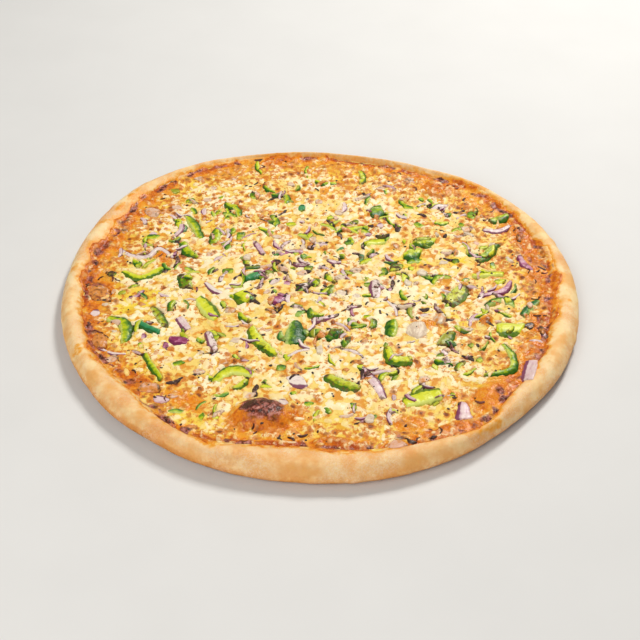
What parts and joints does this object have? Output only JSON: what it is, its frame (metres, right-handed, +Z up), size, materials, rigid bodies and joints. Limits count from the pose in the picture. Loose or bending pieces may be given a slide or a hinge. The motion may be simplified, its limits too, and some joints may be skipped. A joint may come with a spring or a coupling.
{
  "type": "bbq chicken pizza",
  "caption": "Thin round baked pizza, uncut, with a puffed pale rim, melted cheese, green pepper strips, red onion slivers and roast chicken.",
  "frame": {"origin": "centre of the pizza's box on its flat underside", "axes": "+Z up through the pizza, +Y away from the picture's camera, +X to its right"},
  "size_m": [0.3284, 0.3205, 0.016],
  "materials": {
    "crust": "baked dough, floury and matte, blushed brown in places",
    "cheese": "melted cheese, oily sheen, browned freckles",
    "green_pepper": "roasted pepper skin, glossy, paler cut flesh",
    "red_onion": "soft translucent onion, purple skin and lilac flesh",
    "chicken": "pulled roast chicken, fibrous"
  },
  "bodies": {
    "root": {"crust": "crust", "cheese": "cheese", "pepper_01": "green_pepper", "pepper_02": "green_pepper", "pepper_03": "green_pepper", "pepper_04": "green_pepper", "pepper_05": "green_pepper", "pepper_06": "green_pepper", "pepper_07": "green_pepper", "pepper_08": "green_pepper", "pepper_09": "green_pepper", "pepper_10": "green_pepper", "pepper_11": "green_pepper", "pepper_12": "green_pepper", "pepper_13": "green_pepper", "pepper_14": "green_pepper", "pepper_15": "green_pepper", "pepper_16": "green_pepper", "pepper_17": "green_pepper", "pepper_18": "green_pepper", "pepper_19": "green_pepper", "pepper_20": "green_pepper", "pepper_21": "green_pepper", "pepper_22": "green_pepper", "pepper_23": "green_pepper", "pepper_24": "green_pepper", "pepper_25": "green_pepper", "pepper_26": "green_pepper", "pepper_27": "green_pepper", "pepper_28": "green_pepper", "pepper_29": "green_pepper", "pepper_30": "green_pepper", "pepper_31": "green_pepper", "pepper_32": "green_pepper", "pepper_33": "green_pepper", "pepper_34": "green_pepper", "onion_01": "red_onion", "onion_02": "red_onion", "onion_03": "red_onion", "onion_04": "red_onion", "onion_05": "red_onion", "onion_06": "red_onion", "onion_07": "red_onion", "onion_08": "red_onion", "onion_09": "red_onion", "onion_10": "red_onion", "onion_11": "red_onion", "onion_12": "red_onion", "onion_13": "red_onion", "onion_14": "red_onion", "onion_15": "red_onion", "onion_16": "red_onion", "onion_17": "red_onion", "chicken_01": "chicken", "chicken_02": "chicken", "chicken_03": "chicken", "chicken_04": "chicken", "chicken_05": "chicken", "chicken_06": "chicken", "chicken_07": "chicken"}
  },
  "joints": []
}
